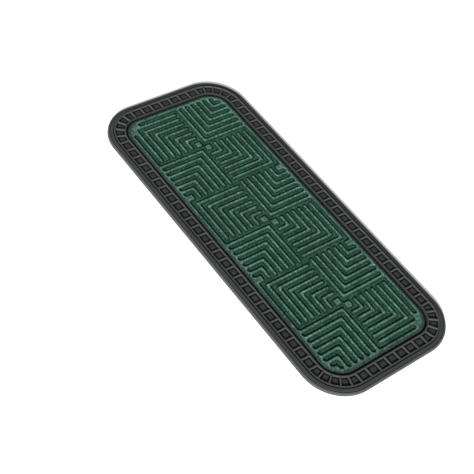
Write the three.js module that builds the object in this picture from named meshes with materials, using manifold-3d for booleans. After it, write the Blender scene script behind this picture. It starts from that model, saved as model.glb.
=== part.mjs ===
// Stair tread mat: a moulded rubber base with a raised, ladder-like border,
// and a needle-punched carpet face with recessed, nested L-shaped channels.
// Millimetres, +Z up. X runs along the mat, Y across it, and Z = 0 is the flat underside.

import * as THREE from 'three';
import { mergeVertices } from 'three/addons/utils/BufferGeometryUtils.js';
import Module from 'manifold-3d';

// Driving dimensions: the mat's outline
const MAT_LENGTH = 607;
const MAT_WIDTH = 256;
const CORNER_RADIUS = 65;
const CORNER_STEPS = 10;

// Heights above the underside
const EDGE_HEIGHT = 3.4;
const FLANGE_SLOPE_HEIGHT = 4.1;
const FLANGE_HEIGHT = 4.5;
const FLANGE_INNER_HEIGHT = 4.9;
const RAIL_HEIGHT = 6.5;
const TRAY_FLOOR_HEIGHT = 1.8;
const POCKET_FLOOR_HEIGHT = 3.0;
const BLOCK_HEIGHT = 4.4;
const CARPET_HEIGHT = 5.7;
const CHANNEL_FLOOR_HEIGHT = 3.3;

// Distances inward from the mat's outer edge
const FLANGE_STEP_INSET = 3.8;
const OUTER_RAIL_INSET = 9.7;
const POCKET_OUTER_INSET = 12.4;
const POCKET_INNER_INSET = 26.4;
const TRAY_INSET = 29.3;
const CARPET_INSET = 31.4;

// The border's row of pockets
const POCKETS_LONG_SIDE = 27;
const POCKETS_SHORT_SIDE = 7;
const POCKETS_CORNER = 5;
const BAR_WIDTH = 2.6;
const MOAT_WIDTH = 1.4;
const BLOCK_CHAMFER = 0.7;
const RAIL_CHAMFER = 0.4;
const GROOVE_WIDTH = 0.9;
const GROOVE_DEPTH = 0.8;

// The carpet's pattern: square tiles of nested L-shaped channels
const CHANNEL_PITCH = 11.7;
const CHANNEL_WIDTH = CHANNEL_PITCH / 2;
const CHANNELS_PER_TILE = 7;
const TILE_SIZE = (2 * CHANNELS_PER_TILE + 1) * CHANNEL_WIDTH;
const TILE_ROWS = 6;
const TILE_COLUMNS = 2;
const OUTER_BEND_RADIUS = 3;
const INNER_BEND_RADIUS = 1.2;
const CORNER_CHANNEL_START = 20;
const CORNER_CHANNEL_TRIM = 3;
const CURVE_STEPS = 2;

// How far a cutting solid runs past the face that it cuts through
const CUT_MARGIN = 1;

const wasm = await Module();
wasm.setup();

// Turns a closed three.js geometry into a solid that can be joined and cut.
function toSolid(geometry) {
  const bare = geometry.clone();
  bare.deleteAttribute('normal');
  bare.deleteAttribute('uv');
  const merged = mergeVertices(bare);
  return new wasm.Manifold(new wasm.Mesh({
    numProp: 3,
    vertProperties: new Float32Array(merged.attributes.position.array),
    triVerts: new Uint32Array(merged.index.array),
  }));
}

// Turns a solid back into a three.js geometry.
function toGeometry(solid) {
  const mesh = solid.getMesh();
  const geometry = new THREE.BufferGeometry();
  geometry.setAttribute('position', new THREE.BufferAttribute(mesh.vertProperties, mesh.numProp));
  geometry.setIndex(new THREE.BufferAttribute(mesh.triVerts, 1));
  geometry.computeVertexNormals();
  return geometry;
}

function joinAll(solids) {
  return solids.reduce((joined, solid) => joined.add(solid));
}

// Extrudes an outline from one height to another, with no bevel.
function prism(outline, bottom, top) {
  const geometry = new THREE.ExtrudeGeometry(new THREE.Shape(outline), {
    depth: top - bottom,
    bevelEnabled: false,
  });
  geometry.translate(0, 0, bottom);
  return toSolid(geometry);
}

// Extrudes an outline up to a height, with its top edge chamfered inward.
function chamferedPrism(outline, bottom, top, chamferWidth, chamferHeight) {
  const halfHeight = top - bottom - chamferHeight;
  const geometry = new THREE.ExtrudeGeometry(new THREE.Shape(outline), {
    depth: 2 * halfHeight,
    bevelEnabled: true,
    bevelThickness: chamferHeight,
    bevelSize: chamferWidth,
    bevelOffset: -chamferWidth,
    bevelSegments: 1,
  });
  geometry.translate(0, 0, bottom - halfHeight);
  const lowerHalf = new THREE.BoxGeometry(2 * MAT_LENGTH, 2 * MAT_WIDTH, MAT_WIDTH);
  lowerHalf.translate(0, 0, bottom - MAT_WIDTH / 2);
  return toSolid(geometry).subtract(toSolid(lowerHalf));
}

// The mat's outline drawn in by an inset, with its corners on the same centres.
function matOutline(inset) {
  const outline = [];
  const quarterTurns = [[1, 1, 0], [-1, 1, 1], [-1, -1, 2], [1, -1, 3]];
  for (const [sideX, sideY, turns] of quarterTurns) {
    const centreX = sideX * (MAT_LENGTH / 2 - CORNER_RADIUS);
    const centreY = sideY * (MAT_WIDTH / 2 - CORNER_RADIUS);
    for (let step = 0; step <= CORNER_STEPS; step += 1) {
      const angle = (turns + step / CORNER_STEPS) * Math.PI / 2;
      outline.push(new THREE.Vector2(
        centreX + (CORNER_RADIUS - inset) * Math.cos(angle),
        centreY + (CORNER_RADIUS - inset) * Math.sin(angle),
      ));
    }
  }
  return outline;
}

// A pocket of the straight border, drawn along the mat's right-hand or far side before it is turned.
// `reach` is the distance from the mat's middle to its outer edge there.
function straightPocket(along, length, reach, wall) {
  const near = along - length / 2 + wall;
  const far = along + length / 2 - wall;
  const inner = reach - POCKET_INNER_INSET + wall - BAR_WIDTH / 2;
  const outer = reach - POCKET_OUTER_INSET - wall + BAR_WIDTH / 2;
  return [[near, inner], [far, inner], [far, outer], [near, outer]].map(([x, y]) => new THREE.Vector2(x, y));
}

// A wedge-shaped pocket of a rounded corner, about the corner's centre.
// Its two sides run parallel to the bars beside it.
function cornerPocket(index, wall) {
  const span = Math.PI / 2 / POCKETS_CORNER;
  const start = index * span;
  const middle = start + span / 2;
  const inner = CORNER_RADIUS - POCKET_INNER_INSET + wall - BAR_WIDTH / 2;
  const outer = CORNER_RADIUS - POCKET_OUTER_INSET - wall + BAR_WIDTH / 2;
  const outline = [];
  for (const [radius, order] of [[inner, [0, 1, 2]], [outer, [2, 1, 0]]]) {
    const side = Math.asin(wall / radius);
    const angles = [start + side, middle, start + span - side];
    for (const place of order) {
      outline.push(new THREE.Vector2(
        radius * Math.cos(angles[place]),
        radius * Math.sin(angles[place]),
      ));
    }
  }
  return outline;
}

// Every pocket's outline round the border. `wall` is its distance from the middle of each bar.
function pocketOutlines(wall) {
  const outlines = [];
  const sides = [
    { count: POCKETS_LONG_SIDE, run: MAT_LENGTH - 2 * CORNER_RADIUS, reach: MAT_WIDTH / 2, turn: 0 },
    { count: POCKETS_SHORT_SIDE, run: MAT_WIDTH - 2 * CORNER_RADIUS, reach: MAT_LENGTH / 2, turn: 1 },
  ];
  for (const { count, run, reach, turn } of sides) {
    const pitch = run / count;
    for (let index = 0; index < count; index += 1) {
      const along = (index - (count - 1) / 2) * pitch;
      for (const halfTurn of [0, 2]) {
        const angle = (turn + halfTurn) * Math.PI / 2;
        const outline = straightPocket(along, pitch, reach, wall);
        outlines.push(outline.map((point) => point.rotateAround(new THREE.Vector2(), angle)));
      }
    }
  }
  const centre = new THREE.Vector2(MAT_LENGTH / 2 - CORNER_RADIUS, MAT_WIDTH / 2 - CORNER_RADIUS);
  for (let index = 0; index < POCKETS_CORNER; index += 1) {
    for (const [sideX, sideY] of [[1, 1], [-1, 1], [-1, -1], [1, -1]]) {
      const side = new THREE.Vector2(sideX, sideY);
      outlines.push(cornerPocket(index, wall).map((point) => point.add(centre).multiply(side)));
    }
  }
  return outlines;
}

// A narrow groove all round the flange, along the outer side of a step at `inset`.
function flangeGroove(inset, surfaceHeight) {
  const floor = surfaceHeight - GROOVE_DEPTH;
  const ceiling = surfaceHeight + CUT_MARGIN;
  return prism(matOutline(inset - GROOVE_WIDTH), floor, ceiling)
    .subtract(prism(matOutline(inset), floor - CUT_MARGIN, ceiling + CUT_MARGIN));
}

// The rubber base: a flange in two gentle slopes, a raised rail, the tray under the carpet,
// and a row of pockets, each with a low block standing in it.
function rubberBase() {
  const footRise = FLANGE_SLOPE_HEIGHT - EDGE_HEIGHT;
  const foot = chamferedPrism(matOutline(0), 0, FLANGE_SLOPE_HEIGHT, FLANGE_STEP_INSET, footRise);
  const flangeRise = FLANGE_INNER_HEIGHT - FLANGE_HEIGHT;
  const flangeRun = OUTER_RAIL_INSET - FLANGE_STEP_INSET;
  const flange = chamferedPrism(
    matOutline(FLANGE_STEP_INSET), EDGE_HEIGHT, FLANGE_INNER_HEIGHT, flangeRun, flangeRise,
  );
  const rail = chamferedPrism(
    matOutline(OUTER_RAIL_INSET), EDGE_HEIGHT, RAIL_HEIGHT, RAIL_CHAMFER, RAIL_CHAMFER,
  );
  const tray = prism(matOutline(TRAY_INSET), TRAY_FLOOR_HEIGHT, RAIL_HEIGHT + CUT_MARGIN);
  const pockets = pocketOutlines(BAR_WIDTH / 2)
    .map((outline) => prism(outline, POCKET_FLOOR_HEIGHT, RAIL_HEIGHT + CUT_MARGIN));
  const blocks = pocketOutlines(BAR_WIDTH / 2 + MOAT_WIDTH).map((outline) => chamferedPrism(
    outline, POCKET_FLOOR_HEIGHT - CUT_MARGIN, BLOCK_HEIGHT, BLOCK_CHAMFER, BLOCK_CHAMFER,
  ));
  const grooves = [
    flangeGroove(FLANGE_STEP_INSET, FLANGE_SLOPE_HEIGHT),
    flangeGroove(OUTER_RAIL_INSET, FLANGE_INNER_HEIGHT),
  ];
  const body = joinAll([foot, flange, rail]).subtract(joinAll([tray, ...grooves, ...pockets]));
  return toGeometry(body.add(joinAll(blocks)));
}

// One end of a channel's leg, from its first side to its second, with Y on the leg's axis.
// An open end runs on into the next tile's outermost channel, and a closed one is round.
function drawLegEnd(shape, end, isOpen, firstSide, secondSide, toPoint) {
  if (isOpen) {
    shape.lineTo(...toPoint(end + CHANNEL_WIDTH / 2, firstSide));
    shape.lineTo(...toPoint(end + CHANNEL_WIDTH / 2, secondSide));
    return;
  }
  const radius = CHANNEL_WIDTH / 2;
  const shoulder = end - radius;
  const middle = (firstSide + secondSide) / 2;
  shape.lineTo(...toPoint(shoulder, firstSide));
  for (let step = 1; step <= 2 * CURVE_STEPS; step += 1) {
    const angle = (step / (2 * CURVE_STEPS)) * Math.PI;
    const offset = Math.sign(firstSide - secondSide) * radius * Math.cos(angle);
    shape.lineTo(...toPoint(shoulder + radius * Math.sin(angle), middle + offset));
  }
}

// A nested L-shaped channel, measured from its tile's corner, with a leg along each axis.
function bentChannel(index, ends) {
  const near = 2 * index * CHANNEL_WIDTH;
  const far = near + CHANNEL_WIDTH;
  const shape = new THREE.Shape();
  shape.moveTo(near, near + OUTER_BEND_RADIUS);
  shape.quadraticCurveTo(near, near, near + OUTER_BEND_RADIUS, near);
  drawLegEnd(shape, ends.alongEnd, ends.alongOpen, near, far, (run, side) => [run, side]);
  shape.lineTo(far + INNER_BEND_RADIUS, far);
  shape.quadraticCurveTo(far, far, far, far + INNER_BEND_RADIUS);
  drawLegEnd(shape, ends.acrossEnd, ends.acrossOpen, far, near, (run, side) => [side, run]);
  return shape.getPoints(CURVE_STEPS);
}

// The outermost channel where the carpet's own corner is round: two straight legs with no bend.
function splitChannel() {
  const radius = CHANNEL_WIDTH / 2;
  const leg = new THREE.Shape();
  leg.moveTo(TILE_SIZE + radius, 0);
  leg.lineTo(TILE_SIZE + radius, CHANNEL_WIDTH);
  leg.lineTo(CORNER_CHANNEL_START + radius, CHANNEL_WIDTH);
  leg.absarc(CORNER_CHANNEL_START + radius, radius, radius, Math.PI / 2, 3 * Math.PI / 2);
  const along = leg.getPoints(CURVE_STEPS);
  const across = along.map((point) => new THREE.Vector2(point.y, point.x));
  return [along, across];
}

// The channels of one tile. The bend of every L points at the tile's corner:
// that corner lies at the start of the row in the left column and at its end in the right one,
// on the left in even rows and on the right in odd ones.
function tileChannels(row, column) {
  const alongSign = column === 0 ? 1 : -1;
  const acrossSign = row % 2 === 0 ? 1 : -1;
  const corner = new THREE.Vector2(
    (row - TILE_ROWS / 2 + (alongSign > 0 ? 0 : 1)) * TILE_SIZE,
    (column - TILE_COLUMNS / 2 + (acrossSign > 0 ? 0 : 1)) * TILE_SIZE,
  );
  const nextRow = row + alongSign;
  const nextColumn = column + acrossSign;
  const alongOpen = nextRow >= 0 && nextRow < TILE_ROWS;
  const acrossOpen = nextColumn >= 0 && nextColumn < TILE_COLUMNS;
  const bendIsAtMatCorner = (row === 0 && column === 0) || (row === TILE_ROWS - 1 && column === 1);
  const outlines = [];
  for (let index = 0; index < CHANNELS_PER_TILE; index += 1) {
    if (index === 0 && bendIsAtMatCorner) {
      outlines.push(...splitChannel());
      continue;
    }
    const isInnermost = index === CHANNELS_PER_TILE - 1;
    const trim = isInnermost && !alongOpen && !acrossOpen ? CORNER_CHANNEL_TRIM : 0;
    const end = TILE_SIZE - trim;
    outlines.push(bentChannel(index, { alongEnd: end, alongOpen, acrossEnd: end, acrossOpen }));
  }
  const toTile = new THREE.Vector2(alongSign, acrossSign);
  return outlines.map((outline) => outline.map((point) => point.clone().multiply(toTile).add(corner)));
}

// The carpet: one thick sheet in the tray, with the channels pressed into its face.
function carpetFace() {
  const sheet = prism(matOutline(CARPET_INSET), TRAY_FLOOR_HEIGHT, CARPET_HEIGHT);
  const channels = [];
  for (let row = 0; row < TILE_ROWS; row += 1) {
    for (let column = 0; column < TILE_COLUMNS; column += 1) {
      for (const outline of tileChannels(row, column)) {
        channels.push(prism(outline, CHANNEL_FLOOR_HEIGHT, CARPET_HEIGHT + CUT_MARGIN));
      }
    }
  }
  return toGeometry(sheet.subtract(joinAll(channels)));
}

function namedMesh(name, geometry, color, roughness) {
  const material = new THREE.MeshStandardMaterial({ color, roughness, metalness: 0 });
  const mesh = new THREE.Mesh(geometry, material);
  mesh.name = name;
  return mesh;
}

const mat = new THREE.Group();
mat.add(namedMesh('rubber_base', rubberBase(), 0x3a3b3a, 0.75));
mat.add(namedMesh('carpet_face', carpetFace(), 0x335546, 0.95));

export default mat;
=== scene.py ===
"""Looks of an anti-slip stair tread mat: needle-punched carpet in a moulded rubber base.

Sizes are in millimetres until a mesh is made, and Blender's world is in metres.
The row frame is kept: X along the mat, Y across it, Z = 0 on the flat underside.
"""

import logging
import math
from dataclasses import dataclass, field
from enum import Enum

import bpy
import numpy as np
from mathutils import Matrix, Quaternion, Vector
from mathutils.geometry import delaunay_2d_cdt


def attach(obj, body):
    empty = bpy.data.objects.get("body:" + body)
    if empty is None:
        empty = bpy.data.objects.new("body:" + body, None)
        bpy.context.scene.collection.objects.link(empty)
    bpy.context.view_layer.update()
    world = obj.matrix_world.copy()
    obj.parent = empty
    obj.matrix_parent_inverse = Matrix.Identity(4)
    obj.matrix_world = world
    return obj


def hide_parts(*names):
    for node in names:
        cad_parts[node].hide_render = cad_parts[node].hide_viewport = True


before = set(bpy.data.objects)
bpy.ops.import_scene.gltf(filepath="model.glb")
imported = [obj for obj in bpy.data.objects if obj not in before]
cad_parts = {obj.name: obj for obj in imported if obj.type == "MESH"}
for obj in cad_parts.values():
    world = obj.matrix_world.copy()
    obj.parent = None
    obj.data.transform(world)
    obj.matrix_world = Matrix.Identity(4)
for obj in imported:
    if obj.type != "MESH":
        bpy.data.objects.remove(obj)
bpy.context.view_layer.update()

Tree = bpy.types.NodeTree
Socket = bpy.types.NodeSocket
Piece = bpy.types.Object
Rgba = tuple[float, float, float, float]
Pair = tuple[float, float]

LOG = logging.getLogger("stair_tread_mat")
MM = 0.001

WHITE = (1.0, 1.0, 1.0, 1.0)
# A mix node in colour mode has its two colours and its result at these sockets.
MIX_A, MIX_B, MIX_RESULT = 6, 7, 2
# Nearly all values of a noise texture lie in this span.
NOISE_SPAN = {"From Min": 0.3, "From Max": 0.7}
# Straight steps in each small rounding of the rubber's sections.
ROUNDING_STEPS = 2
# Triangulated points closer than this many millimetres count as one.
SAME_POINT_MM = 1e-4


class Slot(Enum):
    """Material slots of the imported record."""

    RUBBER = "rubber_base"
    CARPET = "carpet_face"


class Weight(Enum):
    """Per-vertex weights, from 0 to 1, that tell a material where its colour changes."""

    # Carpet: the raised lands, their middles, partly a painted highlight, the sheet's plain
    # border, and the painted shade along its channels' walls and its edge.
    LAND = "land"
    CREST = "crest"
    MARGIN = "margin"
    PAINTED_SHADE = "painted_shade"
    # Rubber: the painted highlights on the mat's outer edge and the pockets' rims, and
    # the painted shade in all that is sunk or shaded.
    EDGE = "edge"
    RIM = "rim"
    RECESS = "recess"


def linear(hex_colour: str) -> Rgba:
    """Turn an sRGB hex colour into linear RGBA.

    Args:
        hex_colour: Six hex digits, with or without a leading #.

    Returns:
        Linear red, green and blue, and an alpha of 1.
    """
    digits = hex_colour.lstrip("#")
    channels = [int(digits[i : i + 2], 16) / 255 for i in (0, 2, 4)]
    red, green, blue = (
        c / 12.92 if c <= 0.04045 else ((c + 0.055) / 1.055) ** 2.4 for c in channels
    )
    return red, green, blue, 1.0


def add_node(
    tree: Tree, kind: str, inputs: dict | None = None, **settings: object
) -> bpy.types.Node:
    """Add a shader node, set its options, and fill or link its inputs.

    Args:
        tree: Node tree that receives the node.
        kind: Blender's type name of the node.
        inputs: Values or output sockets, by input name or index.
        settings: Options of the node itself, by attribute name.

    Returns:
        The new node.
    """
    node = tree.nodes.new(kind)
    for name, value in settings.items():
        setattr(node, name, value)
    for key, value in (inputs or {}).items():
        if isinstance(value, Socket):
            tree.links.new(value, node.inputs[key])
        else:
            node.inputs[key].default_value = value
    return node


def new_material(name: str) -> tuple[bpy.types.Material, Tree]:
    """Make an empty node material.

    Args:
        name: Material's name.

    Returns:
        The material and its empty node tree.
    """
    material = bpy.data.materials.new(name)
    material.use_nodes = True
    material.node_tree.nodes.clear()
    return material, material.node_tree


def new_piece(name: str, points: np.ndarray, faces: list[tuple[int, ...]]) -> Piece:
    """Make a smooth-shaded mesh object from points in millimetres.

    Args:
        name: Name of the piece.
        points: Array of shape (n, 3), in millimetres.
        faces: Vertex indices of each face, wound to face outward.

    Returns:
        The object, linked to the scene.
    """
    mesh = bpy.data.meshes.new(name)
    mesh.from_pydata((points * MM).tolist(), [], faces)
    mesh.validate()
    mesh.shade_smooth()
    piece = bpy.data.objects.new(name, mesh)
    bpy.context.scene.collection.objects.link(piece)
    return piece


def set_weight(piece: Piece, weight: Weight, values: np.ndarray) -> None:
    """Store one weight per vertex.

    Args:
        piece: Mesh object that receives the weight.
        weight: Which weight it is.
        values: One number per vertex, from 0 to 1.
    """
    layer = piece.data.attributes.new(weight.value, "FLOAT", "POINT")
    layer.data.foreach_set("value", values.astype(np.float32))


def smooth_step(values: np.ndarray, low: float, high: float) -> np.ndarray:
    """Ease from 0 at low to 1 at high.

    Args:
        values: Numbers to ease.
        low: Value that gives 0.
        high: Value that gives 1.

    Returns:
        Numbers from 0 to 1.
    """
    t = np.clip((values - low) / (high - low), 0, 1)
    return t * t * t * (t * (6 * t - 15) + 10)


def round_corners(corners: list[Pair], radii: list[float], steps: int) -> np.ndarray:
    """Round the inner corners of an open line with short curves.

    Args:
        corners: The line's points.
        radii: How far each corner's curve reaches along its sides, 0 for a sharp one.
        steps: Number of straight steps in each curve.

    Returns:
        Array of shape (n, 2) with the rounded line.
    """
    line = [np.array(c, float) for c in corners]
    rounded = [line[0]]
    for before, corner, after, radius in zip(line, line[1:], line[2:], radii[1:-1]):
        if radius == 0:
            rounded.append(corner)
            continue
        to_before = (before - corner) / np.linalg.norm(before - corner)
        to_after = (after - corner) / np.linalg.norm(after - corner)
        start, end = corner + radius * to_before, corner + radius * to_after
        for t in np.linspace(0, 1, steps + 1):
            rounded.append((1 - t) ** 2 * start + 2 * t * (1 - t) * corner + t * t * end)
    rounded.append(line[-1])
    return np.array(rounded)


@dataclass(frozen=True)
class NeedlePunchedFelt:
    """Polypropylene felt: solution-dyed fibre, needled into a web and heat-embossed.

    The eye sees a matt, flecked green. The lands are paler and greyer along their
    crests, partly from loose fibre and partly as a painted highlight. The channels' walls
    and the sheet's edge are painted nearly black as shade, and the plain margin is a
    dull grey-green.
    """

    channel_hex: str = "#2a5041"
    land_hex: str = "#26483a"
    # Painted shade for the channels' walls and the sheet's edge.
    wall_shade_hex: str = "#02140c"
    # Paler crests: partly loose fibre, partly a painted highlight.
    crest_hex: str = "#5a7f72"
    margin_hex: str = "#262e2b"
    sheen_hex: str = "#88a99a"
    # Loose fibres: gain of red, green and blue, and the streak heights where it sets in
    # and is full.
    fleck_light_gain: Rgba = (2.4, 1.9, 2.05, 1.0)
    fleck_dark_gain: Rgba = (0.3, 0.4, 0.36, 1.0)
    fleck_light_range: Pair = (0.6, 0.72)
    fleck_dark_range: Pair = (0.50, 0.40)
    # Real sizes of tufts, blotches and fibres, and the levels between which the colour
    # varies with them.
    tuft_mm: float = 2.3
    tuft_levels: Pair = (0.1, 1.8)
    blotch_mm: float = 14.0
    blotch_levels: Pair = (0.78, 1.22)
    fibre_length_mm: float = 3.4
    fibre_width_mm: float = 0.9
    fibre_turns_deg: Pair = (35.0, -50.0)
    fibre_curl: float = 0.6
    roughness: float = 0.95
    specular_level: float = 0.1
    sheen_weight: float = 0.1
    sheen_roughness: float = 0.6
    bump_mm: float = 0.35
    bump_strength: float = 0.8

    def material(self) -> bpy.types.Material:
        """Build the felt's material.

        Returns:
            The node material.
        """
        material, tree = new_material("needle_punched_polypropylene_felt")
        place = add_node(tree, "ShaderNodeTexCoord").outputs["Object"]
        tufts = add_node(
            tree,
            "ShaderNodeTexNoise",
            {
                "Vector": place,
                "Scale": 1 / (self.tuft_mm * MM),
                "Detail": 3.0,
                "Roughness": 0.7,
            },
        ).outputs["Fac"]
        blotches = add_node(
            tree,
            "ShaderNodeTexNoise",
            {"Vector": place, "Scale": 1 / (self.blotch_mm * MM), "Detail": 2.0},
        ).outputs["Fac"]
        fibres = self.fibre_pattern(tree, place)
        colour = self.ground_colour(tree, tufts, blotches)
        colour = self.flecked_colour(tree, colour, fibres)
        relief = add_node(
            tree, "ShaderNodeMath", {0: tufts, 1: fibres}, operation="ADD"
        ).outputs[0]
        bump = add_node(
            tree,
            "ShaderNodeBump",
            {
                "Strength": self.bump_strength,
                "Distance": self.bump_mm * MM,
                "Height": relief,
            },
        ).outputs[0]
        # Fibre scatters light: a matt face with a faint pale sheen at grazing angles.
        shader = add_node(
            tree,
            "ShaderNodeBsdfPrincipled",
            {
                "Base Color": colour,
                "Roughness": self.roughness,
                "Specular IOR Level": self.specular_level,
                "Sheen Weight": self.sheen_weight,
                "Sheen Roughness": self.sheen_roughness,
                "Sheen Tint": linear(self.sheen_hex),
                "Normal": bump,
            },
        )
        add_node(tree, "ShaderNodeOutputMaterial", {"Surface": shader.outputs[0]})
        return material

    def fibre_pattern(self, tree: Tree, place: Socket) -> Socket:
        """Tangle short streaks that lie in two directions.

        Single fibres are about 0.05 mm thick, too fine for the render, so the streaks are
        as wide as the bundles that the needles pull up.

        Args:
            tree: Material's node tree.
            place: Object coordinates.

        Returns:
            Height of the streaks, from 0 to 1.
        """
        along, across = 1 / (self.fibre_length_mm * MM), 1 / (self.fibre_width_mm * MM)
        streaks = []
        for turn in self.fibre_turns_deg:
            mapped = add_node(
                tree,
                "ShaderNodeMapping",
                {
                    "Vector": place,
                    "Rotation": (0, 0, math.radians(turn)),
                    "Scale": (along, across, along),
                },
            ).outputs[0]
            streaks.append(
                add_node(
                    tree,
                    "ShaderNodeTexNoise",
                    {
                        "Vector": mapped,
                        "Scale": 1.0,
                        "Detail": 2.0,
                        "Distortion": self.fibre_curl,
                    },
                ).outputs["Fac"]
            )
        return add_node(
            tree, "ShaderNodeMath", {0: streaks[0], 1: streaks[1]}, operation="MAXIMUM"
        ).outputs[0]

    def ground_colour(self, tree: Tree, tufts: Socket, blotches: Socket) -> Socket:
        """Blend the colours of the channels, lands, crests, margin and the painted shade.

        Args:
            tree: Material's node tree.
            tufts: Fine noise of the fibre tufts.
            blotches: Broad noise of the dye and the pressing.

        Returns:
            The blended colour.
        """
        colour: object = linear(self.channel_hex)
        # The crest layer is partly a painted highlight, and the last layer is painted
        # shade.
        layers = (
            (Weight.LAND, self.land_hex),
            (Weight.CREST, self.crest_hex),
            (Weight.MARGIN, self.margin_hex),
            (Weight.PAINTED_SHADE, self.wall_shade_hex),
        )
        for weight, hex_colour in layers:
            share = add_node(
                tree, "ShaderNodeAttribute", attribute_name=weight.value
            ).outputs["Fac"]
            colour = add_node(
                tree,
                "ShaderNodeMix",
                {"Factor": share, MIX_A: colour, MIX_B: linear(hex_colour)},
                data_type="RGBA",
            ).outputs[MIX_RESULT]
        levels = ((tufts, self.tuft_levels), (blotches, self.blotch_levels))
        for noise, (low, high) in levels:
            level = add_node(
                tree,
                "ShaderNodeMapRange",
                {"Value": noise, **NOISE_SPAN, "To Min": low, "To Max": high},
            ).outputs[0]
            colour = add_node(
                tree, "ShaderNodeVectorMath", {0: colour, "Scale": level}, operation="SCALE"
            ).outputs[0]
        return colour

    def flecked_colour(self, tree: Tree, colour: Socket, fibres: Socket) -> Socket:
        """Turn some fibres paler and greyer than the ground colour, and some darker.

        Args:
            tree: Material's node tree.
            colour: Ground colour.
            fibres: Height of the fibre streaks.

        Returns:
            The flecked colour.
        """
        for (low, high), gain in (
            (self.fleck_light_range, self.fleck_light_gain),
            (self.fleck_dark_range, self.fleck_dark_gain),
        ):
            amount = add_node(
                tree,
                "ShaderNodeMapRange",
                {"Value": fibres, "From Min": low, "From Max": high},
            ).outputs[0]
            level = add_node(
                tree,
                "ShaderNodeMix",
                {"Factor": amount, MIX_A: WHITE, MIX_B: gain},
                data_type="RGBA",
            ).outputs[MIX_RESULT]
            colour = add_node(
                tree, "ShaderNodeVectorMath", {0: colour, 1: level}, operation="MULTIPLY"
            ).outputs[0]
        return colour


@dataclass(frozen=True)
class CompressionMouldedRubber:
    """Styrene-butadiene rubber, compression moulded in a lightly blasted tool.

    The eye sees a dark matt grey-black with hardly any gloss. The outer edge, the rails'
    tops and the pockets' rims are painted a little paler as highlights, and the grooves
    and pockets are painted nearly black as shade.
    """

    body_hex: str = "#3a3d3c"
    # Painted highlights on the raised tops, the outer edge and the pockets' rims.
    crest_hex: str = "#404342"
    edge_hex: str = "#515554"
    rim_hex: str = "#494d4b"
    bloom_hex: str = "#424544"
    # Painted shade in the moats, grooves, pockets and the tray's wall.
    recess_hex: str = "#070808"
    grain_mm: float = 0.6
    grain_levels: Pair = (0.85, 1.15)
    bloom_mm: float = 45.0
    bloom_range: Pair = (0.4, 0.7)
    bloom_share: float = 0.7
    crest_from_mm: float = 5.6
    crest_to_mm: float = 6.5
    ior: float = 1.52
    specular_level: float = 0.04
    roughness: float = 0.72
    roughness_fall: float = 0.06
    roughness_rise: float = 0.08
    bump_mm: float = 0.05
    bump_strength: float = 0.5

    def material(self) -> bpy.types.Material:
        """Build the rubber's material.

        Returns:
            The node material.
        """
        material, tree = new_material("compression_moulded_sbr_rubber")
        place = add_node(tree, "ShaderNodeTexCoord").outputs["Object"]
        grain = add_node(
            tree,
            "ShaderNodeTexNoise",
            {
                "Vector": place,
                "Scale": 1 / (self.grain_mm * MM),
                "Detail": 3.0,
                "Roughness": 0.6,
            },
        ).outputs["Fac"]
        bloom = add_node(
            tree,
            "ShaderNodeTexNoise",
            {"Vector": place, "Scale": 1 / (self.bloom_mm * MM), "Detail": 4.0},
        ).outputs["Fac"]
        bump = add_node(
            tree,
            "ShaderNodeBump",
            {
                "Strength": self.bump_strength,
                "Distance": self.bump_mm * MM,
                "Height": grain,
            },
        ).outputs[0]
        roughness = add_node(
            tree,
            "ShaderNodeMapRange",
            {
                "Value": bloom,
                **NOISE_SPAN,
                "To Min": self.roughness - self.roughness_fall,
                "To Max": self.roughness + self.roughness_rise,
            },
        ).outputs[0]
        # A blasted tool leaves a fine matt grain, so reflections are weak and broad.
        shader = add_node(
            tree,
            "ShaderNodeBsdfPrincipled",
            {
                "Base Color": self.body_colour(tree, place, grain, bloom),
                "Roughness": roughness,
                "IOR": self.ior,
                "Specular IOR Level": self.specular_level,
                "Normal": bump,
            },
        )
        add_node(tree, "ShaderNodeOutputMaterial", {"Surface": shader.outputs[0]})
        return material

    def body_colour(
        self, tree: Tree, place: Socket, grain: Socket, bloom: Socket
    ) -> Socket:
        """Blend the body with its bloom, its painted highlights and the painted shade in
        its recesses.

        Args:
            tree: Material's node tree.
            place: Object coordinates.
            grain: Fine noise of the moulded grain.
            bloom: Broad noise of the bloom.

        Returns:
            The blended colour.
        """
        height = add_node(tree, "ShaderNodeSeparateXYZ", {0: place}).outputs["Z"]
        # The raised tops, by height, get a painted highlight.
        crest = add_node(
            tree,
            "ShaderNodeMapRange",
            {
                "Value": height,
                "From Min": self.crest_from_mm * MM,
                "From Max": self.crest_to_mm * MM,
            },
        ).outputs[0]
        low, high = self.bloom_range
        haze = add_node(
            tree,
            "ShaderNodeMapRange",
            {"Value": bloom, "From Min": low, "From Max": high, "To Max": self.bloom_share},
        ).outputs[0]
        colour: object = linear(self.body_hex)
        edge, rim, recess = (
            add_node(tree, "ShaderNodeAttribute", attribute_name=mark.value).outputs["Fac"]
            for mark in (Weight.EDGE, Weight.RIM, Weight.RECESS)
        )
        # Painted highlights on tops, outer edge and rims, then painted shade in the
        # recesses.
        for amount, hex_colour in (
            (haze, self.bloom_hex),
            (crest, self.crest_hex),
            (edge, self.edge_hex),
            (rim, self.rim_hex),
            (recess, self.recess_hex),
        ):
            colour = add_node(
                tree,
                "ShaderNodeMix",
                {"Factor": amount, MIX_A: colour, MIX_B: linear(hex_colour)},
                data_type="RGBA",
            ).outputs[MIX_RESULT]
        low, high = self.grain_levels
        level = add_node(
            tree,
            "ShaderNodeMapRange",
            {"Value": grain, **NOISE_SPAN, "To Min": low, "To Max": high},
        ).outputs[0]
        return add_node(
            tree, "ShaderNodeVectorMath", {0: colour, "Scale": level}, operation="SCALE"
        ).outputs[0]


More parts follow.
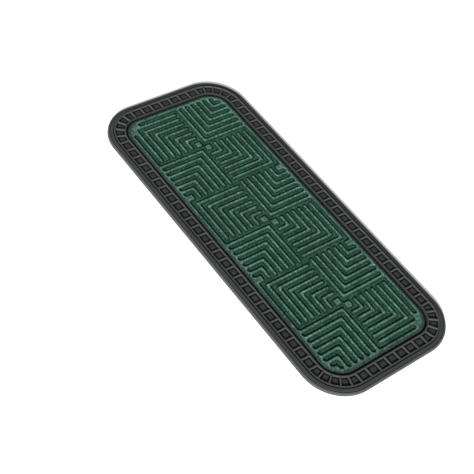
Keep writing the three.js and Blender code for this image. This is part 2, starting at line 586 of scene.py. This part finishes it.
@dataclass(frozen=True)
class RoundedOutline:
    """The mat's outline: a rectangle with large round corners."""

    length_mm: float = 607.0
    width_mm: float = 256.0
    radius_mm: float = 65.0
    corner_steps_min: int = 8

    @property
    def corner_centre(self) -> np.ndarray:
        """Centre of the round corner at +X and +Y."""
        return np.array([self.length_mm, self.width_mm]) / 2 - self.radius_mm

    def inner_distance(self, points: np.ndarray, inset: float) -> np.ndarray:
        """Measure how far points lie inside the outline drawn in by an inset.

        Args:
            points: Array of shape (n, 2), in millimetres.
            inset: Distance from the mat's outer edge to the line that is measured from.

        Returns:
            Distance inward from that line, negative outside it.
        """
        beyond = np.abs(points) - self.corner_centre
        outside = np.linalg.norm(np.maximum(beyond, 0), axis=1)
        inside = np.minimum(beyond.max(axis=1), 0)
        return self.radius_mm - inset - (outside + inside)

    def ring(self, inset: float, spacing: float) -> np.ndarray:
        """Place points evenly round the outline drawn in by an inset.

        Args:
            inset: Distance from the mat's outer edge.
            spacing: Largest distance between neighbouring points.

        Returns:
            Array of shape (n, 2), counter-clockwise.
        """
        radius = self.radius_mm - inset
        half = self.corner_centre
        points = []
        for turn, signs in enumerate(((1, 1), (-1, 1), (-1, -1), (1, -1))):
            centre = half * signs
            steps = max(self.corner_steps_min, math.ceil(radius * math.pi / 2 / spacing))
            angles = (turn + np.arange(steps + 1) / steps) * math.pi / 2
            arc = centre + radius * np.column_stack([np.cos(angles), np.sin(angles)])
            run = 2 * (half[0] if turn % 2 == 0 else half[1])
            ahead = np.array([-math.sin(angles[-1]), math.cos(angles[-1])])
            places = np.arange(spacing, run - spacing / 2, run / math.ceil(run / spacing))
            points += [arc, arc[-1] + places[:, None] * ahead]
        return np.vstack(points)


@dataclass
class ChannelPattern:
    """Square tiles of nested L-shaped channels, turned so that the channels run on."""

    pitch_mm: float = 11.7
    channels_per_tile: int = 7
    rows: int = 6
    columns: int = 2
    corner_start_mm: float = 20.0
    corner_trim_mm: float = 3.0
    # How sharply corners between channels are blended, and over which distances.
    blend_per_mm: float = 3.0
    blend_reach_mm: Pair = (-8.0, 40.0)
    # Points round a channel's end, and how near a point has to lie to its line.
    end_angles: int = 9
    line_tolerance_mm: float = 0.02

    @property
    def width_mm(self) -> float:
        """Width of one channel."""
        return self.pitch_mm / 2

    @property
    def tile_mm(self) -> float:
        """Side of one square tile."""
        return (2 * self.channels_per_tile + 1) * self.width_mm

    def tile_legs(self, row: int, column: int) -> list[np.ndarray]:
        """Find the centre lines of one tile's channels.

        Args:
            row: Tile's place along the mat.
            column: Tile's place across it.

        Returns:
            Legs as arrays of two points, in millimetres.
        """
        along, across = (1 if column == 0 else -1), (1 if row % 2 == 0 else -1)
        half, tile = self.width_mm / 2, self.tile_mm
        runs_on = [0 <= row + along < self.rows, 0 <= column + across < self.columns]
        at_mat_corner = (row, column) in ((0, 0), (self.rows - 1, self.columns - 1))
        legs = []
        for index in range(self.channels_per_tile):
            start = axis = 2 * index * self.width_mm + half
            if index == 0 and at_mat_corner:
                start = self.corner_start_mm + half
            trimmed = index == self.channels_per_tile - 1 and not any(runs_on)
            for direction, open_end in enumerate(runs_on):
                stop = tile + half if open_end else tile - half
                stop -= self.corner_trim_mm if trimmed else 0
                leg = np.array([[start, axis], [stop, axis]])
                legs.append(leg if direction == 0 else leg[:, ::-1])
        corner = np.array(
            [
                (row - self.rows / 2 + (along < 0)) * tile,
                (column - self.columns / 2 + (across < 0)) * tile,
            ]
        )
        return [leg * (along, across) + corner for leg in legs]

    def legs(self) -> np.ndarray:
        """Find the centre lines of every channel.

        Returns:
            Array of shape (n, 2, 2): legs, their two ends, and x and y.
        """
        tiles = [(r, c) for r in range(self.rows) for c in range(self.columns)]
        return np.array([leg for r, c in tiles for leg in self.tile_legs(r, c)])

    def distance(self, points: np.ndarray, blend: bool = True) -> np.ndarray:
        """Measure the distance from points to the nearest channel's edge.

        Args:
            points: Array of shape (n, 2), in millimetres.
            blend: Whether corners between channels are softened.

        Returns:
            Distance outside the channels, negative inside them.
        """
        nearest = np.full(len(points), np.inf)
        total = np.zeros(len(points))
        for start, end in self.legs():
            span = end - start
            t = np.clip((points - start) @ span / (span @ span), 0, 1)
            away = np.linalg.norm(points - start - t[:, None] * span, axis=1)
            away -= self.width_mm / 2
            nearest = np.minimum(nearest, away)
            total += np.exp(-self.blend_per_mm * np.clip(away, *self.blend_reach_mm))
        return -np.log(total) / self.blend_per_mm if blend else nearest

    def edge_lines(self, offset: float, spacing: float) -> np.ndarray:
        """Place points at one distance from the channels' edges.

        Args:
            offset: Distance outside the edge, negative inside a channel.
            spacing: Distance between points along straight edges.

        Returns:
            Array of shape (n, 2), in millimetres.
        """
        radius = self.width_mm / 2 + offset
        angles = np.linspace(-math.pi / 2, math.pi / 2, self.end_angles)[1:-1]
        found = []
        for start, end in self.legs():
            length = np.linalg.norm(end - start)
            ahead = (end - start) / length
            aside = np.array([-ahead[1], ahead[0]])
            places = np.linspace(0, length, max(2, round(length / spacing)))[:, None]
            found += [start + places * ahead + side * radius * aside for side in (-1, 1)]
            for centre, sign in ((start, -1), (end, 1)):
                for angle in angles:
                    turn = sign * math.cos(angle) * ahead + math.sin(angle) * aside
                    found.append((centre + radius * turn)[None])
        points = np.vstack(found)
        off_line = np.abs(self.distance(points, blend=False) - offset)
        return points[off_line < self.line_tolerance_mm]


@dataclass
class CarpetFace:
    """The carpet: one thick sheet of felt bonded into the rubber tray."""

    outline: RoundedOutline = field(default_factory=RoundedOutline)
    pattern: ChannelPattern = field(default_factory=ChannelPattern)
    finish: NeedlePunchedFelt = field(default_factory=NeedlePunchedFelt)
    inset_mm: float = 31.4
    bottom_mm: float = 1.8
    land_mm: float = 5.7
    channel_floor_mm: float = 3.3
    # The face's shape, by distance from a channel's edge or from the sheet's edge.
    wall_foot_mm: float = -0.6
    wall_top_mm: float = 1.0
    crown_mm: float = 0.6
    edge_drop_mm: float = 1.6
    edge_round_mm: float = 6.5
    nap_mm: float = 0.08
    nap_from_mm: float = 0.2
    # Colour weights, by the same distances: where they fade, and how strong they are.
    # The crest is partly paler fibre and partly a painted highlight.
    crest_rise_mm: Pair = (1.0, 2.7)
    crest_fall_mm: Pair = (3.0, 4.5)
    crest_fall_share: float = 0.6
    # Painted shade along the feet of the channels' walls and along the sheet's edge.
    shade_shift_mm: float = 0.1
    shade_width_mm: float = 0.8
    wall_shade_share: float = 0.95
    edge_shade_mm: Pair = (0.3, 2.0)
    edge_shade_share: float = 0.85
    margin_mm: Pair = (3.5, 7.5)
    margin_share: float = 0.9
    # Lines of the mesh beside edges and walls, and its points on open ground.
    edge_lines_mm: tuple[float, ...] = (0.0, 0.4, 0.9, 1.6, 2.4)
    channel_lines_mm: tuple[float, ...] = (-2.4, -1.5)
    slope_lines_mm: tuple[float, ...] = (-0.25, 0.1, 0.45)
    land_lines_mm: tuple[float, ...] = (1.6, 2.4)
    open_from_mm: float = 3.4
    point_spacing_mm: float = 1.6
    point_scatter: float = 0.25
    point_gap_mm: float = 0.15
    seed: int = 7

    def plan(self) -> np.ndarray:
        """Place the sheet's points: dense at walls and edge, open elsewhere.

        Returns:
            Array of shape (n, 2), in millimetres, the outer edge's points first.
        """
        step = self.point_spacing_mm
        rings = [
            self.outline.ring(self.inset_mm + drawn_in, step)
            for drawn_in in self.edge_lines_mm
        ]
        offsets = (
            *self.channel_lines_mm,
            self.wall_foot_mm,
            *self.slope_lines_mm,
            self.wall_top_mm,
            *self.land_lines_mm,
        )
        walls = [self.pattern.edge_lines(offset, step) for offset in offsets]
        half_x, half_y = self.outline.length_mm / 2, self.outline.width_mm / 2
        x, y = np.meshgrid(
            np.arange(-half_x, half_x, step), np.arange(-half_y, half_y, step)
        )
        ground = np.column_stack([x.ravel(), y.ravel()])
        rng = np.random.default_rng(self.seed)
        ground += rng.uniform(-self.point_scatter, self.point_scatter, ground.shape) * step
        to_edge = self.outline.inner_distance(ground, self.inset_mm)
        ground = ground[to_edge > self.open_from_mm]
        ground = ground[self.pattern.distance(ground) > self.open_from_mm]
        inner = np.vstack([*rings[1:], *walls, ground])
        cells = np.round(inner / self.point_gap_mm).astype(int)
        _, first = np.unique(cells, axis=0, return_index=True)
        return np.vstack([rings[0], inner[np.sort(first)]])

    def heights(self, points: np.ndarray) -> np.ndarray:
        """Find the face's height at each point.

        Args:
            points: Array of shape (n, 2), in millimetres.

        Returns:
            Heights above the underside, in millimetres.
        """
        to_wall = self.pattern.distance(points)
        to_edge = self.outline.inner_distance(points, self.inset_mm)
        rise = smooth_step(to_wall, self.wall_foot_mm, self.wall_top_mm)
        rolled = np.clip(1 - to_edge / self.edge_round_mm, 0, 1) ** 2
        crown = np.clip(1 - to_wall / (self.pattern.width_mm / 2), 0, 1) ** 2
        rng = np.random.default_rng(self.seed)
        nap = rng.uniform(-self.nap_mm, self.nap_mm, len(points))
        nap *= to_edge > self.nap_from_mm
        land = self.land_mm - self.nap_mm
        land = land - self.edge_drop_mm * rolled - self.crown_mm * crown
        return self.channel_floor_mm + (land - self.channel_floor_mm) * rise + nap

    def build(self) -> Piece:
        """Build the closed sheet, with its edge turned down and a flat back.

        Returns:
            The carpet's piece.
        """
        plan = self.plan()
        corners, _, triangles, *_ = delaunay_2d_cdt(
            [Vector(p) for p in plan], [], [], 0, SAME_POINT_MM, False
        )
        flat = np.array([tuple(c) for c in corners])
        faces = [tuple(t) for t in triangles]
        rim = self.boundary(np.array(faces))
        top = np.column_stack([flat, self.heights(flat)])
        foot = np.column_stack([flat[rim], np.full(len(rim), self.bottom_mm)])
        count = len(flat)
        below = np.arange(count, count + len(rim))
        for i, j in zip(range(len(rim)), [*range(1, len(rim)), 0]):
            faces.append((rim[j], rim[i], below[i], below[j]))
        faces.append(tuple(below[::-1]))
        faces = [tuple(int(v) for v in f) for f in faces]
        piece = new_piece("felt_carpet_sheet", np.vstack([top, foot]), faces)
        self.weigh(piece, np.vstack([flat, flat[rim]]))
        return piece

    @staticmethod
    def boundary(triangles: np.ndarray) -> list[int]:
        """Walk round the open edge of a triangulated disc.

        Args:
            triangles: Vertex indices, of shape (n, 3), wound counter-clockwise.

        Returns:
            Vertex indices round the edge, counter-clockwise.
        """
        sides = triangles[:, [[0, 1], [1, 2], [2, 0]]].reshape(-1, 2)
        paired = {tuple(side) for side in sides.tolist()}
        onward = {a: b for a, b in paired if (b, a) not in paired}
        walk = [min(onward)]
        while onward[walk[-1]] != walk[0]:
            walk.append(onward[walk[-1]])
        return walk

    def weigh(self, piece: Piece, points: np.ndarray) -> None:
        """Mark the lands, their crests, the painted shade and the margin for the material.

        Args:
            piece: The carpet's piece.
            points: Plan position of each of its vertices, in millimetres.
        """
        to_wall = self.pattern.distance(points)
        to_edge = self.outline.inner_distance(points, self.inset_mm)
        land = smooth_step(to_wall, self.wall_foot_mm, self.wall_top_mm)
        # Paler crest: partly loose fibre, partly a painted highlight.
        crest = smooth_step(to_wall, *self.crest_rise_mm)
        crest *= 1 - self.crest_fall_share * smooth_step(to_wall, *self.crest_fall_mm)
        # Painted shade at the feet of the channels' walls and along the sheet's edge.
        from_shade_line = (to_wall + self.shade_shift_mm) / self.shade_width_mm
        wall_shade = self.wall_shade_share * np.exp(-(from_shade_line**2))
        edge_shade = self.edge_shade_share * (1 - smooth_step(to_edge, *self.edge_shade_mm))
        margin = self.margin_share * (1 - smooth_step(to_edge, *self.margin_mm))
        set_weight(piece, Weight.LAND, land)
        set_weight(piece, Weight.PAINTED_SHADE, np.maximum(wall_shade, edge_shade))
        set_weight(piece, Weight.CREST, crest)
        set_weight(piece, Weight.MARGIN, margin)

    def dress(self, base: Piece) -> Piece:
        """Build the sheet, finish it and fix it to the frame.

        Args:
            base: The rubber piece that it lies on; not used.

        Returns:
            The carpet's piece.
        """
        piece = self.build()
        piece.data.materials.append(self.finish.material())
        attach(piece, "root")
        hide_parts("carpet_face")
        return piece


@dataclass
class RubberBase:
    """The rubber base: sloped flange, two rails, a ladder of pockets, and the tray."""

    outline: RoundedOutline = field(default_factory=RoundedOutline)
    finish: CompressionMouldedRubber = field(default_factory=CompressionMouldedRubber)
    # Heights above the underside.
    edge_mm: float = 3.4
    flange_slope_mm: float = 4.1
    flange_mm: float = 4.5
    flange_inner_mm: float = 4.9
    rail_mm: float = 6.5
    tray_floor_mm: float = 1.8
    pocket_floor_mm: float = 3.0
    block_shoulder_mm: float = 3.9
    block_mm: float = 4.4
    # A block's top: its rim and middle, measured in from its foot, and its dome.
    block_rim_mm: float = 1.4
    block_dome_mm: float = 0.15
    block_middle_mm: float = 4.0
    # Distances in from the mat's outer edge.
    flange_step_inset_mm: float = 3.8
    outer_rail_inset_mm: float = 9.7
    pocket_outer_inset_mm: float = 12.4
    pocket_inner_inset_mm: float = 26.4
    tray_inset_mm: float = 29.3
    # Widths, depths and roundings.
    bar_width_mm: float = 2.6
    moat_mm: float = 1.4
    draft_mm: float = 0.2
    rounding_mm: float = 0.45
    groove_width_mm: float = 0.9
    groove_depth_mm: float = 0.8
    # Least room between lines round the border, and how far into a pocket others cross.
    line_gap_mm: float = 1.0
    station_reach_mm: float = 3.2
    # Colour weights of the painted highlights and painted shade: where they fade, and how
    # strong they are.
    edge_highlight_from_mm: float = 2.0
    rim_shift_mm: float = 0.3
    rim_width_mm: float = 0.6
    moat_fade_mm: float = 0.6
    block_shade: float = 0.2
    inner_rail_shade: float = 0.3
    pockets_long_side: int = 27
    pockets_short_side: int = 7
    pockets_corner: int = 5

    def section(self) -> np.ndarray:
        """Draw the border's section from the underside up and over to the tray.

        Returns:
            Array of shape (n, 2): inset from the outer edge, and height.
        """
        step, rail = self.flange_step_inset_mm, self.outer_rail_inset_mm
        wide, deep, draft = self.groove_width_mm, self.groove_depth_mm, self.draft_mm
        corners = [
            (0, 0),
            (0, self.edge_mm),
            (step - wide, self.flange_slope_mm),
            (step - wide + draft, self.flange_slope_mm - deep),
            (step - draft, self.flange_slope_mm - deep),
            (step, self.flange_mm),
            (rail - wide - draft, self.flange_inner_mm),
            (rail - wide, self.flange_inner_mm - deep),
            (rail - draft, self.flange_inner_mm - deep),
            (rail, self.rail_mm),
            (self.tray_inset_mm - draft, self.rail_mm),
            (self.tray_inset_mm, self.tray_floor_mm),
        ]
        r = self.rounding_mm
        radii = [0, r, draft, 0, 0, r, draft, 0, 0, r, r, 0]
        return round_corners(corners, radii, ROUNDING_STEPS)

    def pocket_section(self) -> np.ndarray:
        """Draw a pocket's section from its wall's top to the middle of its block.

        Returns:
            Array of shape (n, 2): distance in from the pocket's edge, and height.
        """
        foot = self.moat_mm
        corners = [
            (-self.bar_width_mm / 2, self.rail_mm),
            (0, self.rail_mm),
            (self.draft_mm, self.pocket_floor_mm),
            (foot, self.pocket_floor_mm),
            (foot + self.draft_mm, self.block_shoulder_mm),
            (foot + self.block_rim_mm, self.block_mm - self.block_dome_mm),
            (foot + self.block_middle_mm, self.block_mm),
        ]
        r = self.rounding_mm
        return round_corners(corners, [0, r, 0, 0, r, 0, 0], ROUNDING_STEPS)

    def across_lines(self) -> list[Pair]:
        """List the lines that run round the border.

        Returns:
            Inset of each line, and the height of the plain section there.
        """
        section = self.section()
        outer, inner = self.pocket_outer_inset_mm, self.pocket_inner_inset_mm
        ins, gap = self.pocket_section()[:, 0], self.line_gap_mm
        middle = (outer + inner) / 2
        from_outer = [outer + a for a in ins if outer + a < middle - gap]
        from_inner = [inner - a for a in ins[::-1] if inner - a > middle + gap]
        plain = [tuple(p) for p in section if p[0] < outer - gap]
        tail = [tuple(p) for p in section if p[0] > inner + gap]
        ladder = [(v, self.rail_mm) for v in [*from_outer, middle, *from_inner]]
        return [*plain, *ladder, *tail]

    def station_offsets(self) -> list[float]:
        """Find where lines cross the border between a bar and its pocket's middle.

        Returns:
            Distances from the bar's middle, in millimetres.
        """
        half = self.bar_width_mm / 2
        ins = [a for a in self.pocket_section()[1:, 0] if a < self.station_reach_mm]
        return [0.0, *[half + a for a in ins]]

    def stations(self) -> list[tuple[np.ndarray, np.ndarray]]:
        """Place every line that crosses the border, all the way round.

        Returns:
            For each line its points in plan, and their distance from the nearest bar's
            middle.
        """
        insets = np.array([v for v, _ in self.across_lines()])
        size = self.outline
        radius = size.radius_mm
        found = []
        for turn in range(4):
            angle = (turn - 1) * math.pi / 2
            out = np.array([math.cos(angle), math.sin(angle)])
            ahead = np.array([-out[1], out[0]])
            is_long = turn % 2 == 0
            run = (size.length_mm if is_long else size.width_mm) - 2 * radius
            reach = (size.width_mm if is_long else size.length_mm) / 2
            count = self.pockets_long_side if is_long else self.pockets_short_side
            for start, away in self.straight_places(run, count):
                line = (reach - insets)[:, None] * out + start * ahead
                found.append((line, np.full(len(insets), away)))
            centre = out * (reach - radius) + ahead * run / 2
            for angles, away in self.corner_places(radius - insets):
                turned = np.cos(angles)[:, None] * out + np.sin(angles)[:, None] * ahead
                found.append((centre + (radius - insets)[:, None] * turned, away))
        return found

    def straight_places(self, run: float, count: int) -> list[Pair]:
        """Place the crossing lines of one straight side.

        Args:
            run: Length of the straight side.
            count: Number of pockets along it.

        Returns:
            Position along the side, and distance from the nearest bar's middle.
        """
        pitch, offsets = run / count, self.station_offsets()
        places = []
        for index in range(count):
            start = -run / 2 + index * pitch
            places += [(start + w, w) for w in offsets]
            places.append((start + pitch / 2, pitch / 2))
            places += [(start + pitch - w, w) for w in offsets[:0:-1]]
        return places

    def corner_places(self, radii: np.ndarray) -> list[tuple[np.ndarray, np.ndarray]]:
        """Place the crossing lines of one rounded corner, parallel to the bars beside them.

        Args:
            radii: Distance of each round line from the corner's centre.

        Returns:
            Angle at each round line, and distance there from the nearest bar's middle.
        """
        span, offsets = math.pi / 2 / self.pockets_corner, self.station_offsets()
        level = np.ones(len(radii))
        places = []
        for index in range(self.pockets_corner):
            start = index * span
            places += [(start + np.arcsin(w / radii), w * level) for w in offsets]
            places.append(((start + span / 2) * level, radii * math.sin(span / 2)))
            places += [
                (start + span - np.arcsin(w / radii), w * level) for w in offsets[:0:-1]
            ]
        return places

    def build(self) -> Piece:
        """Build the closed moulding.

        Returns:
            The rubber's piece.
        """
        lines = self.across_lines()
        insets = np.array([v for v, _ in lines])
        plain = np.array([z for _, z in lines])
        section = self.pocket_section()
        from_rails = np.minimum(
            insets - self.pocket_outer_inset_mm, self.pocket_inner_inset_mm - insets
        )
        rows, depths = [], []
        for plan, away in self.stations():
            into = np.minimum(away - self.bar_width_mm / 2, from_rails)
            heights = np.minimum(plain, np.interp(into, section[:, 0], section[:, 1]))
            rows.append(np.column_stack([plan, heights]))
            depths.append(into)
        grid = np.array(rows)
        around, across = grid.shape[:2]
        index = np.arange(around * across).reshape(around, across)
        ahead = np.roll(index, -1, axis=0)
        quads = np.stack(
            [index[:, :-1], ahead[:, :-1], ahead[:, 1:], index[:, 1:]], axis=-1
        ).reshape(-1, 4)
        faces = [tuple(q) for q in quads.tolist()]
        faces.append(tuple(index[::-1, 0].tolist()))
        faces.append(tuple(index[:, -1].tolist()))
        piece = new_piece("moulded_rubber_base", grid.reshape(-1, 3), faces)
        self.weigh(piece, np.tile(insets, around), np.concatenate(depths))
        return piece

    def weigh(self, piece: Piece, insets: np.ndarray, into: np.ndarray) -> None:
        """Mark the painted highlights on the outer edge and the pockets' rims, and the
        painted shade in all that is sunk, for the material.

        Args:
            piece: The rubber's piece.
            insets: Distance of each vertex from the mat's outer edge, in millimetres.
            into: How far each vertex lies inside a pocket, negative outside it.
        """
        # Painted shade in the moats, on the blocks, on the inner rail, in the grooves and
        # on the tray's wall.
        on_block = smooth_step(into, self.moat_mm, self.moat_mm + self.moat_fade_mm)
        in_moat = smooth_step(into, 0.0, self.draft_mm) * (1 - on_block)
        inner_rail = smooth_step(insets, self.pocket_inner_inset_mm, self.tray_inset_mm)
        half_groove = self.groove_width_mm / 2
        in_groove = [
            np.abs(insets - foot + half_groove) < half_groove
            for foot in (self.flange_step_inset_mm, self.outer_rail_inset_mm)
        ]
        on_tray_wall = insets > self.tray_inset_mm - self.draft_mm / 2
        recess = np.maximum.reduce(
            [
                in_moat,
                self.block_shade * on_block,
                self.inner_rail_shade * inner_rail,
                *in_groove,
                on_tray_wall,
            ]
        )
        # Painted highlights on the outer edge and along the pockets' rims.
        edge_highlight = 1 - smooth_step(insets, self.edge_highlight_from_mm, self.flange_step_inset_mm)
        from_rim = (into + self.rim_shift_mm) / self.rim_width_mm
        set_weight(piece, Weight.EDGE, edge_highlight)
        set_weight(piece, Weight.RIM, np.exp(-(from_rim**2)))
        set_weight(piece, Weight.RECESS, recess)

    def dress(self) -> Piece:
        """Build the moulding, finish it and fix it to the frame.

        Returns:
            The rubber's piece.
        """
        piece = self.build()
        piece.data.materials.append(self.finish.material())
        # Flat faces stay flat in the shading, and only the rounded edges turn.
        flats = piece.modifiers.new("flat_faces", "WEIGHTED_NORMAL")
        flats.keep_sharp = True
        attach(piece, "root")
        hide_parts("rubber_base")
        return piece


@dataclass(frozen=True)
class MattWhitePaint:
    """White emulsion paint, rolled on a flat table top.

    The eye sees plain white without gloss, and on it the mat's shadow.
    """

    paint_hex: str = "#f4f4f4"
    lift: float = 0.3

    def material(self) -> bpy.types.Material:
        """Build the paint's material.

        Only the camera sees it lifted towards white, so the mat gets no light from that.

        Returns:
            The node material.
        """
        material, tree = new_material("matt_white_table")
        plain = add_node(tree, "ShaderNodeBsdfDiffuse", {"Color": linear(self.paint_hex)})
        glow = add_node(tree, "ShaderNodeEmission", {"Color": WHITE, "Strength": self.lift})
        lifted = add_node(
            tree, "ShaderNodeAddShader", {0: plain.outputs[0], 1: glow.outputs[0]}
        )
        seen = add_node(tree, "ShaderNodeLightPath").outputs["Is Camera Ray"]
        mixed = add_node(
            tree,
            "ShaderNodeMixShader",
            {"Fac": seen, 1: plain.outputs[0], 2: lifted.outputs[0]},
        )
        add_node(tree, "ShaderNodeOutputMaterial", {"Surface": mixed.outputs[0]})
        return material


@dataclass
class Studio:
    """A white table, an even white sky, one low soft sun lamp, and the camera."""

    table: MattWhitePaint = field(default_factory=MattWhitePaint)
    floor_size_m: float = 12.0
    camera_place_m: tuple[float, float, float] = (0.6518, -0.7951, 1.1286)
    camera_back: tuple[float, float, float] = (0.4361, -0.4906, 0.7545)
    camera_roll_deg: float = 15.53
    focal_px: float = 1004.2
    picture_px: float = 474.0
    sensor_mm: float = 36.0
    view_reach_m: float = 50.0
    sky_strength: float = 0.16
    lamp_strength: float = 7.6
    lamp_azimuth_deg: float = -48.0
    lamp_elevation_deg: float = 21.0
    lamp_softness_deg: float = 8.0
    lamp_distance_m: float = 3.0

    def build(self) -> None:
        """Build the floor, the lights and the camera."""
        self.add_floor()
        self.add_sky()
        self.add_lamp()
        self.add_camera()

    def add_floor(self) -> None:
        """Lay the floor that the mat rests on."""
        half = self.floor_size_m / 2
        mesh = bpy.data.meshes.new("floor")
        corners = [(-half, -half, 0), (half, -half, 0), (half, half, 0), (-half, half, 0)]
        mesh.from_pydata(corners, [], [(0, 1, 2, 3)])
        floor = bpy.data.objects.new("floor", mesh)
        bpy.context.scene.collection.objects.link(floor)
        mesh.materials.append(self.table.material())

    def add_sky(self) -> None:
        """Light the scene evenly, and show plain white behind it and in reflections."""
        world = bpy.data.worlds.new("studio")
        bpy.context.scene.world = world
        world.use_nodes = True
        tree = world.node_tree
        tree.nodes.clear()
        path = add_node(tree, "ShaderNodeLightPath")
        seen = path.outputs["Is Camera Ray"]
        for kind in ("Is Glossy Ray", "Is Transmission Ray"):
            seen = add_node(
                tree,
                "ShaderNodeMath",
                {0: seen, 1: path.outputs[kind]},
                operation="MAXIMUM",
            ).outputs[0]
        strength = add_node(
            tree,
            "ShaderNodeMapRange",
            {"Value": seen, "To Min": self.sky_strength, "To Max": 1.0},
        ).outputs[0]
        glow = add_node(
            tree, "ShaderNodeBackground", {"Color": WHITE, "Strength": strength}
        )
        add_node(tree, "ShaderNodeOutputWorld", {"Surface": glow.outputs[0]})

    def add_lamp(self) -> None:
        """Add the low sun lamp, whose width gives its shadows soft edges."""
        lamp = bpy.data.lights.new("soft_lamp", "SUN")
        lamp.energy = self.lamp_strength
        lamp.angle = math.radians(self.lamp_softness_deg)
        holder = bpy.data.objects.new("soft_lamp", lamp)
        azimuth = math.radians(self.lamp_azimuth_deg)
        rise = math.radians(self.lamp_elevation_deg)
        level = math.cos(rise)
        to_lamp = Vector(
            (math.cos(azimuth) * level, math.sin(azimuth) * level, math.sin(rise))
        )
        holder.rotation_euler = to_lamp.to_track_quat("Z", "Y").to_euler()
        holder.location = to_lamp * self.lamp_distance_m
        bpy.context.scene.collection.objects.link(holder)

    def add_camera(self) -> None:
        """Set the camera at the photograph's place, turn and focal length."""
        lens = bpy.data.cameras.new("camera")
        lens.sensor_width = self.sensor_mm
        lens.lens = self.focal_px / self.picture_px * self.sensor_mm
        lens.clip_end = self.view_reach_m
        camera = bpy.data.objects.new("camera", lens)
        turn = Vector(self.camera_back).to_track_quat("Z", "Y")
        roll = Quaternion((0, 0, 1), math.radians(self.camera_roll_deg))
        camera.rotation_mode = "QUATERNION"
        camera.rotation_quaternion = turn @ roll
        camera.location = self.camera_place_m
        bpy.context.scene.collection.objects.link(camera)
        bpy.context.scene.camera = camera


def main() -> None:
    """Build the mat and its studio, and report each piece."""
    logging.basicConfig(level=logging.INFO, format="%(name)s: %(message)s")
    bpy.context.scene.view_settings.view_transform = "Standard"
    base = RubberBase().dress()
    LOG.info("%s: %d faces", base.name, len(base.data.polygons))
    carpet = CarpetFace().dress(base)
    LOG.info("%s: %d faces", carpet.name, len(carpet.data.polygons))
    Studio().build()
    LOG.info("studio: floor, lamp and camera")


if __name__ == "__main__":
    main()
